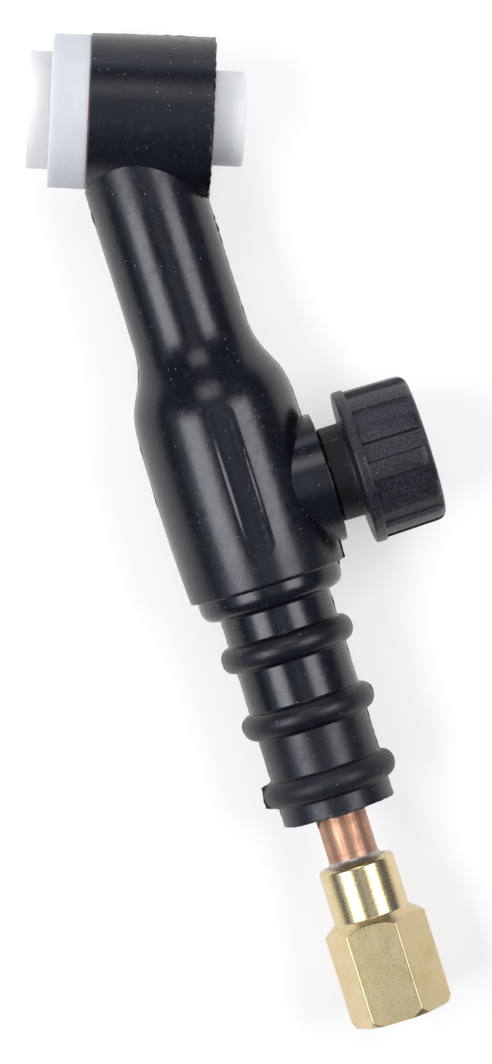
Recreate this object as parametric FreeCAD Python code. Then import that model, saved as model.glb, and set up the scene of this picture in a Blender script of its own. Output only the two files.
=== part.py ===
import FreeCAD
import Part
import os
from math import cos, radians, sin

# TIG torch body: air-cooled, 150 A class, with a gas valve above the handle.
#
# The torch lies on its side. All sizes are in millimetres.
#   origin  where the electrode's axis crosses the neck's axis
#   -Y      down the stem, from the head to the cable fitting
#   +X      out along the gas valve, to its knob
#   +Z      across the torch, up as it lies
# The electrode's axis lies in the XY plane, tilted towards +Y from -X.
#
# Three groups of turned pieces share three axes, so each piece is drawn on its own axis
# as radius and distance along it:
#   stem   distance s down the stem from the origin
#   valve  distance x out from the stem's axis, along +X
#   head   distance t along the electrode's axis, positive to the rear

# ---- driving dimensions -------------------------------------------------------------

HEAD_TILT = 20.0            # electrode's axis from square to the stem, degrees
VALVE_AT = 56.7             # valve axis down the stem

# rubber moulding
HEAD_FRONT = -4.5           # t of the sleeve's front face
HEAD_REAR = 12.8            # t of its rear face
HEAD_FRONT_R = 10.95
HEAD_REAR_R = 11.15
NECK_R = 8.09
FLARE_TOP = 33.4            # s where the neck starts to swell
FLARE_END = 43.3
FLARE_R = 11.32
BULGE_MID = 57.0
BULGE_MID_R = 11.5
BULGE_END = 68.2
BULGE_END_R = 11.25
SHOULDER_R = 10.15          # thick ring under the bulge, the handle's stop
SHOULDER_END = 71.7
SHOULDER_ROUND = 1.8
TAIL_R = 7.88
TAIL_END = 101.8
RIB_R = 1.65                # half-round ribs that grip the slip-on handle
RIB_AT = (77.3, 87.3, 97.1)
BOSS_R = 9.07
BOSS_END = 12.5             # x of the valve boss's face
PANEL_LENGTH = 21.8         # blank recessed panel on the bulge's upper side
PANEL_WIDTH = 3.5
PANEL_AT = 53.4
PANEL_OFFSET = 0.25
PANEL_FLOOR_R = 11.25

# head core and its two insulators
CORE_R = 7.2
CORE_REAR = 10.8
SPIGOT_R = 5.6              # front spigot that centres the front insulator
SPIGOT_FRONT = -8.5
HEAD_THREAD_R = 4.33        # minor radius of the 3/8-32 threads, front and rear
COLLET_BORE_R = 3.6
COLLET_BORE_FRONT = -1.5
COLLET_BORE_REAR = 5.0
DRILL_POINT = 0.42          # length of the cone a drill leaves at each thread's end
GAS_PORT_R = 1.6
SHIELD_R = 10.72            # front insulator: heat shield disc and nozzle seat
SHIELD_FRONT = -9.8
NOZZLE_SEAT_R = 8.2
NOZZLE_SEAT_FRONT = -12.9
SHIELD_BORE_R = 5.2
REAR_RING_R = 6.6
REAR_RING_END = 17.2
REAR_RING_BORE_R = 5.3
REAR_RING_ROUND = 0.5

# copper tubes
NECK_TUBE_R = 3.175
NECK_TUBE_BORE_R = 2.4
NECK_TUBE_TOP = 5.3
NECK_TUBE_END = 50.0
SUPPLY_TUBE_R = 3.55
SUPPLY_TUBE_BORE_R = 2.65
SUPPLY_TUBE_TOP = 62.5
SUPPLY_TUBE_END = 114.5

# valve body
BARREL_R = 6.5
BARREL_TOP = 45.0
BARREL_END = 68.0
CROSS_R = 7.0
CROSS_START = -6.0
CROSS_END = 11.5
NOSE_R = 5.4
NOSE_END = 15.4
PASSAGE_R = 1.1             # drilled gas passages beside the stem's axis
NECK_PASSAGE_X = -2.0
NECK_PASSAGE_END = 57.5
SUPPLY_PASSAGE_X = 2.0
SUPPLY_PASSAGE_TOP = 58.0
SEAT_R = 0.9
SEAT_X = 0.4
CHAMBER_R = 2.6
CHAMBER_END = 3.4
SPINDLE_THREAD_R = 3.0      # M6 x 0.75, drawn plain
SPINDLE_THREAD_END = 7.4
SEAL_BORE_R = 3.5
SEAL_BORE_END = 11.25
GLAND_THREAD_R = 4.45

# gland: washer, static O-ring and nut
GLAND_WASHER_END = 11.85
GLAND_RING_SEAT_R = 3.6
GLAND_RING_SEAT_END = 13.1
GLAND_SLOT_WIDTH = 1.2
GLAND_SLOT_DEPTH = 0.8

# spindle
RUNNING_GAP = 0.05          # radial clearance of every sliding or turning fit
NEEDLE_TIP_R = 0.35
NEEDLE_TIP_X = -0.6
NEEDLE_R = 2.0
NEEDLE_END = 2.7
SPINDLE_THREAD_START = 3.7
SPINDLE_THREAD_STOP = 7.2
RELIEF_R = 2.4
LAND_R = 3.42
LAND_START = 7.7
GROOVE_START = 8.2
GROOVE_END = 9.6
GROOVE_R = 2.2
LAND_END = 10.0
SHANK_R = 2.3
SHANK_END = 17.6
DRIVE_R = 2.0
DRIVE_END = 24.6
DRIVE_FLAT = 1.5            # the flat's distance from the axis
RING_SECTION_R = 0.6

# knob
HUB_R = 6.7
HUB_START = 12.8
HUB_BORE_R = 5.8
HUB_BORE_END = 16.6
FLANGE_R = 10.95
FLANGE_START = 16.15
FLANGE_END = 17.75
GRIP_R = 10.65
GRIP_END_R = 10.45
KNOB_END = 26.7
KNOB_ROUND = 1.5
KNOB_DISH_R = 7.4
KNOB_DISH_DEPTH = 0.6
FLUTES = 12
FLUTE_DEPTH = 0.55
FLUTE_SHARE = 0.5           # the flutes' share of the grip's circle
LAND_PHASE = 5.6            # first raised land, degrees from +Z towards -Y
INSERT_R = 4.2
SCREW_R = 1.25
SCREW_TIP = 19.6
SCREW_HEAD_R = 2.4
SCREW_HEAD_END = 26.2
SCREW_SLOT_WIDTH = 0.6
SCREW_SLOT_DEPTH = 0.7
SCREW_WELL_R = 2.9

# cable fitting
FITTING_TOP = 109.15
FITTING_NECK_R = 5.4
FITTING_NECK_END = 116.9
FITTING_NECK_ROUND = 0.8
HEX_ACROSS_FLATS = 12.7
HEX_TOP = 118.4
HEX_TURN = 9.0              # upper flat leans towards -X, degrees
FITTING_END = 131.7
HEX_END_CHAMFER = 0.9
HEX_END_R = 6.8
CABLE_THREAD_R = 4.25       # minor radius of the 3/8-24 thread
CABLE_THREAD_TOP = 119.5
CABLE_THREAD_MOUTH = 131.0
CABLE_MOUTH_R = 4.95

# brazed joints: collars of filler metal where a tube enters its socket
BRAZE_SPREAD = 1.2
BRAZE_LENGTH = 1.2
HEAD_BRAZE_TOP = 6.0
HEAD_BRAZE_END = 9.4
FITTING_BRAZE_SPREAD = 0.75
FITTING_BRAZE_LENGTH = 0.75

# ---- axes and drawing helpers -------------------------------------------------------

X = FreeCAD.Vector(1, 0, 0)
Y = FreeCAD.Vector(0, 1, 0)
Z = FreeCAD.Vector(0, 0, 1)
ORIGIN = FreeCAD.Vector(0, 0, 0)

# Each placement carries a piece drawn on local Z to its own axis in the torch.
STEM = FreeCAD.Placement(ORIGIN, FreeCAD.Rotation(X, 90))
VALVE = FreeCAD.Placement(FreeCAD.Vector(0, -VALVE_AT, 0), FreeCAD.Rotation(Y, 90))
HEAD = FreeCAD.Placement(
    ORIGIN, FreeCAD.Rotation(Z, -HEAD_TILT).multiply(FreeCAD.Rotation(Y, 90))
)


def point(r, along):
    """A point of a turned piece's section: radius, and distance along its axis."""
    return FreeCAD.Vector(r, 0, along)


def line(a, b):
    return Part.LineSegment(point(*a), point(*b)).toShape()


def arc(a, middle, b):
    return Part.Arc(point(*a), point(*middle), point(*b)).toShape()


def corner_round(corner, before, after, radius):
    """A quarter arc rounding a square corner, from the side before to the side after."""
    share = 1 - cos(radians(45))
    start = [c + radius * d for c, d in zip(corner, before)]
    end = [c + radius * d for c, d in zip(corner, after)]
    middle = [c + radius * share * (b + a) for c, b, a in zip(corner, before, after)]
    return arc(start, middle, end)


def lathe(edges, place):
    """Turn a closed section about its axis and put it in the torch."""
    solid = Part.Face(Part.Wire(edges)).revolve(ORIGIN, Z, 360)
    solid.Placement = place
    return solid


def turned(section, place):
    """A turned piece whose section is a polygon of (radius, distance) points."""
    corners = list(section)
    ends = corners[1:] + corners[:1]
    return lathe([line(a, b) for a, b in zip(corners, ends)], place)


def rod(radius, start, end, place):
    return turned([(0, start), (radius, start), (radius, end), (0, end)], place)


def ring(bore, radius, start, end, place):
    return turned([(bore, start), (radius, start), (radius, end), (bore, end)], place)


def o_ring(mean_radius, section_radius, at, place):
    solid = Part.makeTorus(mean_radius, section_radius, FreeCAD.Vector(0, 0, at), Z)
    solid.Placement = place
    return solid


def collar(bore, radius, thick_end, thin_end, place):
    """A collar of filler metal, thick at the socket and thin along the tube."""
    return turned([(bore, thick_end), (radius, thick_end), (bore, thin_end)], place)


def block(width, depth, start, end, place, x=0.0, y=0.0):
    """A rectangular bar along a local axis, centred at local (x, y)."""
    corner = FreeCAD.Vector(x - width / 2, y - depth / 2, start)
    solid = Part.makeBox(width, depth, end - start, corner)
    solid.Placement = place
    return solid


def drilled(radius, x, top, end):
    """A gas passage parallel to the stem's axis, offset towards the valve by x."""
    solid = Part.makeCylinder(radius, end - top, FreeCAD.Vector(x, 0, top), Z)
    solid.Placement = STEM
    return solid


# ---- rubber moulding ----------------------------------------------------------------


def stem_outside():
    """Neck, bulge, shoulder ring and ribbed tail, all turned on the stem's axis."""
    flare = Part.BezierCurve()
    handle = (FLARE_END - FLARE_TOP) / 2
    flare.setPoles([
        point(NECK_R, FLARE_TOP),
        point(NECK_R, FLARE_TOP + 0.75 * handle),
        point(FLARE_R, FLARE_END - handle),
        point(FLARE_R, FLARE_END),
    ])
    shoulder_corner = (SHOULDER_R, SHOULDER_END)
    edges = [
        line((0, 0), (NECK_R, 0)),
        line((NECK_R, 0), (NECK_R, FLARE_TOP)),
        flare.toShape(),
        arc((FLARE_R, FLARE_END), (BULGE_MID_R, BULGE_MID), (BULGE_END_R, BULGE_END)),
        line((BULGE_END_R, BULGE_END), (SHOULDER_R, BULGE_END)),
        line((SHOULDER_R, BULGE_END), (SHOULDER_R, SHOULDER_END - SHOULDER_ROUND)),
        corner_round(shoulder_corner, (0, -1), (-1, 0), SHOULDER_ROUND),
        line((SHOULDER_R - SHOULDER_ROUND, SHOULDER_END), (TAIL_R, SHOULDER_END)),
        line((TAIL_R, SHOULDER_END), (TAIL_R, TAIL_END)),
        line((TAIL_R, TAIL_END), (0, TAIL_END)),
        line((0, TAIL_END), (0, 0)),
    ]
    ribs = [o_ring(TAIL_R, RIB_R, at, STEM) for at in RIB_AT]
    return lathe(edges, STEM).fuse(ribs)


def head_sleeve():
    return turned(
        [(0, HEAD_FRONT), (HEAD_FRONT_R, HEAD_FRONT), (HEAD_REAR_R, HEAD_REAR), (0, HEAD_REAR)],
        HEAD,
    )


def panel_recess():
    """A shallow round-ended panel that follows the bulge, left blank."""
    half = PANEL_LENGTH / 2 - PANEL_WIDTH / 2
    height = BULGE_MID_R + 1
    place = FreeCAD.Placement(FreeCAD.Vector(PANEL_OFFSET, -PANEL_AT, 0), FreeCAD.Rotation())
    middle = Part.makeBox(
        PANEL_WIDTH, 2 * half, height, FreeCAD.Vector(-PANEL_WIDTH / 2, -half, 0)
    )
    ends = [
        Part.makeCylinder(PANEL_WIDTH / 2, height, FreeCAD.Vector(0, side * half, 0), Z)
        for side in (-1, 1)
    ]
    plug = middle.fuse(ends).removeSplitter()
    plug.Placement = place
    return plug.cut(rod(PANEL_FLOOR_R, 0, TAIL_END, STEM))


def body_moulding():
    """The rubber cover, moulded round the head core, tubes and valve body."""
    clear = 2 * HEAD_REAR_R
    ahead_of_head = block(2 * clear, 2 * clear, HEAD_FRONT - clear, HEAD_FRONT, HEAD)
    boss = rod(BOSS_R, 0, BOSS_END, VALVE)
    outside = stem_outside().cut(ahead_of_head).fuse([head_sleeve(), boss])
    return outside.removeSplitter().cut([
        panel_recess(),
        rod(CORE_R, HEAD_FRONT, CORE_REAR, HEAD),
        rod(REAR_RING_R, CORE_REAR, HEAD_REAR, HEAD),
        rod(NECK_TUBE_R, NECK_TUBE_TOP, NECK_TUBE_END, STEM),
        rod(SUPPLY_TUBE_R, SUPPLY_TUBE_TOP, SUPPLY_TUBE_END, STEM),
        valve_body_outside(),
        head_braze(),
        neck_tube_braze(),
        supply_tube_braze(),
    ])


# ---- head ---------------------------------------------------------------------------


def head_core():
    """The brass head: threaded for the collet body in front and the back cap behind."""
    outside = turned(
        [
            (0, SPIGOT_FRONT), (SPIGOT_R, SPIGOT_FRONT), (SPIGOT_R, HEAD_FRONT),
            (CORE_R, HEAD_FRONT), (CORE_R, CORE_REAR), (0, CORE_REAR),
        ],
        HEAD,
    )
    bore = turned(
        [
            (0, SPIGOT_FRONT), (HEAD_THREAD_R, SPIGOT_FRONT),
            (HEAD_THREAD_R, COLLET_BORE_FRONT - DRILL_POINT),
            (COLLET_BORE_R, COLLET_BORE_FRONT), (COLLET_BORE_R, COLLET_BORE_REAR),
            (HEAD_THREAD_R, COLLET_BORE_REAR + DRILL_POINT),
            (HEAD_THREAD_R, CORE_REAR), (0, CORE_REAR),
        ],
        HEAD,
    )
    return outside.cut([
        bore,
        rod(GAS_PORT_R, 0, NECK_TUBE_TOP, STEM),
        rod(NECK_TUBE_R, NECK_TUBE_TOP, NECK_TUBE_END, STEM),
    ])


def front_insulator():
    """The stepped PTFE heat shield, pushed over the core's spigot."""
    return turned(
        [
            (SHIELD_BORE_R, NOZZLE_SEAT_FRONT), (NOZZLE_SEAT_R, NOZZLE_SEAT_FRONT),
            (NOZZLE_SEAT_R, SHIELD_FRONT), (SHIELD_R, SHIELD_FRONT),
            (SHIELD_R, HEAD_FRONT), (SPIGOT_R, HEAD_FRONT),
            (SPIGOT_R, SPIGOT_FRONT), (SHIELD_BORE_R, SPIGOT_FRONT),
        ],
        HEAD,
    )


def rear_insulator():
    """The PTFE ring that the back cap's O-ring seals in."""
    rounding = REAR_RING_END - REAR_RING_ROUND
    corner = (REAR_RING_R, REAR_RING_END)
    return lathe(
        [
            line((REAR_RING_BORE_R, CORE_REAR), (REAR_RING_R, CORE_REAR)),
            line((REAR_RING_R, CORE_REAR), (REAR_RING_R, rounding)),
            corner_round(corner, (0, -1), (-1, 0), REAR_RING_ROUND),
            line((REAR_RING_R - REAR_RING_ROUND, REAR_RING_END), (REAR_RING_BORE_R, REAR_RING_END)),
            line((REAR_RING_BORE_R, REAR_RING_END), (REAR_RING_BORE_R, CORE_REAR)),
        ],
        HEAD,
    )


# ---- tubes and brazed joints --------------------------------------------------------


def neck_tube():
    """Copper tube from the valve up the neck, its end cut to lie inside the core."""
    return ring(NECK_TUBE_BORE_R, NECK_TUBE_R, NECK_TUBE_TOP, NECK_TUBE_END, STEM)


def supply_tube():
    """Copper tube from the cable fitting up to the valve."""
    return ring(SUPPLY_TUBE_BORE_R, SUPPLY_TUBE_R, SUPPLY_TUBE_TOP, SUPPLY_TUBE_END, STEM)


def head_braze():
    whole = collar(
        NECK_TUBE_R, NECK_TUBE_R + BRAZE_SPREAD + BRAZE_LENGTH, HEAD_BRAZE_TOP, HEAD_BRAZE_END, STEM
    )
    return whole.cut(rod(CORE_R, HEAD_FRONT, CORE_REAR, HEAD))


def neck_tube_braze():
    outer = NECK_TUBE_R + BRAZE_SPREAD
    return collar(NECK_TUBE_R, outer, BARREL_TOP, BARREL_TOP - BRAZE_LENGTH, STEM)


def supply_tube_braze():
    outer = SUPPLY_TUBE_R + BRAZE_SPREAD
    return collar(SUPPLY_TUBE_R, outer, BARREL_END, BARREL_END + BRAZE_LENGTH, STEM)


def fitting_braze():
    outer = SUPPLY_TUBE_R + FITTING_BRAZE_SPREAD
    return collar(SUPPLY_TUBE_R, outer, FITTING_TOP, FITTING_TOP - FITTING_BRAZE_LENGTH, STEM)


# ---- gas valve ----------------------------------------------------------------------


def valve_body_outside():
    barrel = rod(BARREL_R, BARREL_TOP, BARREL_END, STEM)
    cross = rod(CROSS_R, CROSS_START, CROSS_END, VALVE)
    nose = rod(NOSE_R, CROSS_END, NOSE_END, VALVE)
    return barrel.fuse([cross, nose])


def valve_body():
    """The brass valve block, with the needle's seat between its two gas passages."""
    return valve_body_outside().cut([
        rod(NECK_TUBE_R, BARREL_TOP, NECK_TUBE_END, STEM),
        rod(SUPPLY_TUBE_R, SUPPLY_TUBE_TOP, BARREL_END, STEM),
        drilled(PASSAGE_R, NECK_PASSAGE_X, NECK_TUBE_END, NECK_PASSAGE_END),
        drilled(PASSAGE_R, SUPPLY_PASSAGE_X, SUPPLY_PASSAGE_TOP, SUPPLY_TUBE_TOP),
        rod(SEAT_R, NECK_PASSAGE_X, SEAT_X, VALVE),
        rod(CHAMBER_R, SEAT_X, CHAMBER_END, VALVE),
        rod(SPINDLE_THREAD_R, CHAMBER_END, SPINDLE_THREAD_END, VALVE),
        rod(SEAL_BORE_R, SPINDLE_THREAD_END, SEAL_BORE_END, VALVE),
        rod(GLAND_THREAD_R, SEAL_BORE_END, NOSE_END, VALVE),
    ])


def gland_washer():
    return ring(SHANK_R + RUNNING_GAP, GLAND_THREAD_R, SEAL_BORE_END, GLAND_WASHER_END, VALVE)


def gland_o_ring():
    mean_radius = SHANK_R + RUNNING_GAP + RING_SECTION_R
    middle = (GLAND_WASHER_END + GLAND_RING_SEAT_END) / 2
    return o_ring(mean_radius, RING_SECTION_R, middle, VALVE)


def gland_nut():
    """Slotted nut that closes the valve's nose and holds its static O-ring."""
    nut = ring(SHANK_R + RUNNING_GAP, GLAND_THREAD_R, GLAND_WASHER_END, NOSE_END, VALVE)
    slot = block(
        GLAND_SLOT_WIDTH, 2 * GLAND_THREAD_R, NOSE_END - GLAND_SLOT_DEPTH, NOSE_END, VALVE
    )
    return nut.cut([rod(GLAND_RING_SEAT_R, GLAND_WASHER_END, GLAND_RING_SEAT_END, VALVE), slot])


def valve_spindle():
    """Needle, threaded length, O-ring groove, shank and the flatted end under the knob."""
    thread_r = SPINDLE_THREAD_R - RUNNING_GAP
    spindle = turned(
        [
            (0, NEEDLE_TIP_X), (NEEDLE_TIP_R, NEEDLE_TIP_X), (NEEDLE_R, NEEDLE_END),
            (NEEDLE_R, SPINDLE_THREAD_START), (thread_r, SPINDLE_THREAD_START),
            (thread_r, SPINDLE_THREAD_STOP), (RELIEF_R, SPINDLE_THREAD_STOP),
            (RELIEF_R, LAND_START), (LAND_R, LAND_START), (LAND_R, GROOVE_START),
            (GROOVE_R, GROOVE_START), (GROOVE_R, GROOVE_END), (LAND_R, GROOVE_END),
            (LAND_R, LAND_END), (SHANK_R, LAND_END), (SHANK_R, SHANK_END),
            (DRIVE_R, SHANK_END), (DRIVE_R, DRIVE_END), (0, DRIVE_END),
        ],
        VALVE,
    )
    return spindle.cut([drive_flat(), rod(SCREW_R, SCREW_TIP, DRIVE_END, VALVE)])


def drive_flat():
    """What the flat takes off the spindle's end, on the side towards +Z."""
    depth = DRIVE_R - DRIVE_FLAT
    return block(depth, 2 * DRIVE_R, SHANK_END, DRIVE_END, VALVE, x=-DRIVE_FLAT - depth / 2)


def spindle_o_ring():
    mean_radius = GROOVE_R + RUNNING_GAP + RING_SECTION_R
    return o_ring(mean_radius, RING_SECTION_R, (GROOVE_START + GROOVE_END) / 2, VALVE)


# ---- knob ---------------------------------------------------------------------------


def flute(number):
    """The stretch of the grip's surface that one flute takes away."""
    pitch = 360 / FLUTES
    width = pitch * FLUTE_SHARE
    start = 180 + LAND_PHASE + pitch * (number + 0.5) - width / 2
    outside = GRIP_R + 1
    corners = [
        point(GRIP_R - FLUTE_DEPTH, FLANGE_END), point(outside, FLANGE_END),
        point(outside, KNOB_END), point(GRIP_END_R - FLUTE_DEPTH, KNOB_END),
    ]
    section = Part.Face(Part.makePolygon(corners + corners[:1]))
    section.rotate(ORIGIN, Z, start)
    solid = section.revolve(ORIGIN, Z, width)
    solid.Placement = VALVE
    return solid


def valve_knob():
    """The moulded knob: hub that covers the valve's nose, flange and fluted grip."""
    edge = (GRIP_END_R, KNOB_END)
    dish = KNOB_END - KNOB_DISH_DEPTH
    outside = lathe(
        [
            line((0, HUB_START), (HUB_R, HUB_START)),
            line((HUB_R, HUB_START), (HUB_R, FLANGE_START)),
            line((HUB_R, FLANGE_START), (FLANGE_R, FLANGE_START)),
            line((FLANGE_R, FLANGE_START), (FLANGE_R, FLANGE_END)),
            line((FLANGE_R, FLANGE_END), (GRIP_R, FLANGE_END)),
            line((GRIP_R, FLANGE_END), (GRIP_END_R, KNOB_END - KNOB_ROUND)),
            corner_round(edge, (0, -1), (-1, 0), KNOB_ROUND),
            line((GRIP_END_R - KNOB_ROUND, KNOB_END), (KNOB_DISH_R, KNOB_END)),
            line((KNOB_DISH_R, KNOB_END), (KNOB_DISH_R, dish)),
            line((KNOB_DISH_R, dish), (0, dish)),
            line((0, dish), (0, HUB_START)),
        ],
        VALVE,
    )
    return outside.cut(
        [flute(number) for number in range(FLUTES)]
        + [
            rod(HUB_BORE_R, HUB_START, HUB_BORE_END, VALVE),
            rod(SHANK_R, HUB_BORE_END, SHANK_END, VALVE),
            rod(INSERT_R, SHANK_END, DRIVE_END, VALVE),
            rod(SCREW_WELL_R, DRIVE_END, KNOB_END, VALVE),
        ]
    )


def knob_insert():
    """Brass bush moulded into the knob, its bore flatted to match the spindle."""
    bore = rod(DRIVE_R, SHANK_END, DRIVE_END, VALVE).cut(drive_flat())
    return rod(INSERT_R, SHANK_END, DRIVE_END, VALVE).cut(bore)


def knob_screw():
    """Slotted screw that holds the knob on the spindle, sunk in the knob's face."""
    head = rod(SCREW_HEAD_R, DRIVE_END, SCREW_HEAD_END, VALVE)
    shank = rod(SCREW_R, SCREW_TIP, DRIVE_END, VALVE)
    slot = block(
        SCREW_SLOT_WIDTH, 2 * SCREW_HEAD_R, SCREW_HEAD_END - SCREW_SLOT_DEPTH, SCREW_HEAD_END, VALVE
    )
    return head.fuse(shank).cut(slot)


# ---- cable fitting ------------------------------------------------------------------


def hexagon_bar():
    """The hexagon before its ends are turned, one flat facing up with a slight lean."""
    corner_r = HEX_ACROSS_FLATS / 2 / cos(radians(30))
    angles = [radians(60 * number + HEX_TURN) for number in range(6)]
    corners = [FreeCAD.Vector(corner_r * cos(a), corner_r * sin(a), 0) for a in angles]
    face = Part.Face(Part.makePolygon(corners + corners[:1]))
    bar = face.extrude(FreeCAD.Vector(0, 0, FITTING_END - FITTING_NECK_END))
    bar.translate(FreeCAD.Vector(0, 0, FITTING_NECK_END))
    bar.Placement = STEM.multiply(bar.Placement)
    return bar


def cable_fitting():
    """The brass fitting: turned neck brazed to the tube, hexagon and female thread."""
    corner_r = HEX_ACROSS_FLATS / 2 / cos(radians(30))
    turned_ends = turned(
        [
            (0, FITTING_NECK_END), (FITTING_NECK_R, FITTING_NECK_END), (corner_r, HEX_TOP),
            (corner_r, FITTING_END - HEX_END_CHAMFER), (HEX_END_R, FITTING_END),
            (0, FITTING_END),
        ],
        STEM,
    )
    rounding = FITTING_TOP + FITTING_NECK_ROUND
    neck = lathe(
        [
            line((0, FITTING_TOP), (FITTING_NECK_R - FITTING_NECK_ROUND, FITTING_TOP)),
            corner_round(
                (FITTING_NECK_R, FITTING_TOP), (-1, 0), (0, 1), FITTING_NECK_ROUND
            ),
            line((FITTING_NECK_R, rounding), (FITTING_NECK_R, FITTING_NECK_END)),
            line((FITTING_NECK_R, FITTING_NECK_END), (0, FITTING_NECK_END)),
            line((0, FITTING_NECK_END), (0, FITTING_TOP)),
        ],
        STEM,
    )
    mouth = turned(
        [
            (0, CABLE_THREAD_MOUTH), (CABLE_THREAD_R, CABLE_THREAD_MOUTH),
            (CABLE_MOUTH_R, FITTING_END), (0, FITTING_END),
        ],
        STEM,
    )
    return hexagon_bar().common(turned_ends).fuse(neck).removeSplitter().cut([
        rod(SUPPLY_TUBE_R, FITTING_TOP, SUPPLY_TUBE_END, STEM),
        rod(SUPPLY_TUBE_BORE_R, SUPPLY_TUBE_END, CABLE_THREAD_TOP, STEM),
        rod(CABLE_THREAD_R, CABLE_THREAD_TOP, CABLE_THREAD_MOUTH, STEM),
        mouth,
    ])


# ---- export -------------------------------------------------------------------------

PIECES = (
    body_moulding,
    head_core,
    front_insulator,
    rear_insulator,
    neck_tube,
    head_braze,
    neck_tube_braze,
    valve_body,
    supply_tube_braze,
    supply_tube,
    fitting_braze,
    cable_fitting,
    gland_washer,
    gland_o_ring,
    gland_nut,
    valve_spindle,
    spindle_o_ring,
    valve_knob,
    knob_insert,
    knob_screw,
)

os.makedirs("parts", exist_ok=True)
for piece in PIECES:
    shape = piece()
    solids = shape.Solids
    if len(solids) != 1 or not solids[0].isValid():
        raise ValueError(f"{piece.__name__} is not one sound solid")
    solids[0].exportStep(f"parts/{piece.__name__}.step")
    print(f"{piece.__name__:20s} {solids[0].Volume:9.1f} mm3")
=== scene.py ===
"""TIG torch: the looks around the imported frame.

Sizes are in millimetres and angles in degrees unless a name says otherwise. Each piece is
turned on one of the torch's three axes, as a section of (radius, distance along the axis)
points carried round the axis, and only the finished mesh is in metres:

    STEM   distance s down the stem; angle 0 faces the valve, 90 faces up (+Z)
    VALVE  distance x out to the knob; angle 0 faces up, 90 faces down the stem
    HEAD   distance t along the electrode, positive to the rear; angle 0 faces up
"""

import math

import bmesh
import bpy
import numpy as np
from mathutils import Matrix, Vector


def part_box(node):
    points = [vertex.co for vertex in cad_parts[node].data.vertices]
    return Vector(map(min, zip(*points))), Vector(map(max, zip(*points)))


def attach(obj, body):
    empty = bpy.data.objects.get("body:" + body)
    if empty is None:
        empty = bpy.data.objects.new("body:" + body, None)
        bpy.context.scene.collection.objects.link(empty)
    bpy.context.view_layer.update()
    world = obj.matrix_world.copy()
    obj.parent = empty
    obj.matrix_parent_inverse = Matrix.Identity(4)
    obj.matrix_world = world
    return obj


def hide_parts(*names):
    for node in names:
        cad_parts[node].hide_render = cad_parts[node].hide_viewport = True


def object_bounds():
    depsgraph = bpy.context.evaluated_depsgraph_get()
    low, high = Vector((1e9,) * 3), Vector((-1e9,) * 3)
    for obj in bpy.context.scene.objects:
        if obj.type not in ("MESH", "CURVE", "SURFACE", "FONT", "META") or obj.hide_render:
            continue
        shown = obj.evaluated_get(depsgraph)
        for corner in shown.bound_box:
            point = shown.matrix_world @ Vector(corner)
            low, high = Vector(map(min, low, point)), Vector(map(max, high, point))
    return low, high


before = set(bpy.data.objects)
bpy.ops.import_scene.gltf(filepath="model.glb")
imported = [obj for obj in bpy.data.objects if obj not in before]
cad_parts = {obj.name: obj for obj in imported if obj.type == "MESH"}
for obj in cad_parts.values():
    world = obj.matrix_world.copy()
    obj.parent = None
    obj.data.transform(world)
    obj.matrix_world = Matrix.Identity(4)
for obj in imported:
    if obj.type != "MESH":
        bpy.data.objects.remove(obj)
CAD_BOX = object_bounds()

MM = 0.001

# ---- sizes --------------------------------------------------------------------------


def reach(node, axis, end):
    """A CAD node's lowest (end 0) or highest (end 1) coordinate along an axis."""
    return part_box(node)[end][axis] / MM


def down(node, end):
    """How far down the stem a CAD node starts (end 0) or stops (end 1)."""
    return -reach(node, 1, 1 - end)


HEAD_TILT = 20.0
VALVE_AT = (down("valve_spindle", 0) + down("valve_spindle", 1)) / 2

# rubber moulding
HEAD_FRONT = -4.5
HEAD_REAR = 12.8
HEAD_FRONT_R = 10.95
HEAD_REAR_R = 11.15
NECK_TOP = 5.0              # where the neck starts, inside the head
NECK_R = 8.05
FLARE_TOP = 31.2
FLARE_HANDLE = 7.1          # how far the flare's curve keeps its direction at the neck
FLARE_END = 44.3
FLARE_END_HANDLE = 6.7
FLARE_R = 11.31
BULGE_MID = 56.0
BULGE_MID_R = 11.49
BULGE_END = 68.2
BULGE_END_R = 11.1
SHOULDER_R = 10.2
SHOULDER_BEND = 69.2        # where the shoulder starts to round over
SHOULDER_END = 71.5
TAIL_R = 7.88
TAIL_END = 101.8
RIB_HEIGHT = 1.6
RIB_HALF = 1.9              # half a rib's width at its foot
RIB_AT = (77.3, 87.15, 97.05)
RIB_FILLET = 0.25           # the small fillet at each side of a rib
RIB_TAB = (RIB_AT[2] - 1.6, RIB_AT[2] + 1.5)    # where a tab of flash joins the last rib
TEETH_START = 62            # the flash under the boss, torn into teeth
TEETH_FULL = 66
TEETH_END = 68.3
BOSS_R = 9.07
BOSS_END = 12.5
BOSS_LIP_R = 6.4            # the lip round the knob's hub
BOSS_LIP_END_R = 6.0
PANEL_LENGTH = 21.8
PANEL_WIDTH = 3.5
PANEL_AT = 53.4
PANEL_OFFSET = 0.25
PANEL_FLOOR_R = 11.25
PANEL_LEAST_DEPTH = 0.08
PANEL_SOFTNESS = 0.36       # half the width of the panel's rounded edge
PANEL_FINE = 0.3            # how far the fine mesh reaches past the panel's ends
SKIN_WAVE = 0.03            # how far the rubber's skin wanders
FLASH_WIDTH = 0.11          # of the thin fin left along the mould's parting line

# what the moulding is moulded round
CORE_R = 7.2
CORE_REAR = 10.8
BARREL_R = 6.5
BARREL_LENGTH = 23.0
CROSS_R = 7.0
CROSS_START = -6.0
CROSS_END = 11.5
NOSE_R = 5.4
TUBE_R = 3.55
TUBE_BORE_R = 2.65
NECK_TUBE_R = 3.175
SEAT_GAP = 0.1              # the fine dark line where the rubber meets each piece
PAST = 1                    # how far a cutter reaches past the face that it opens

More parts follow.
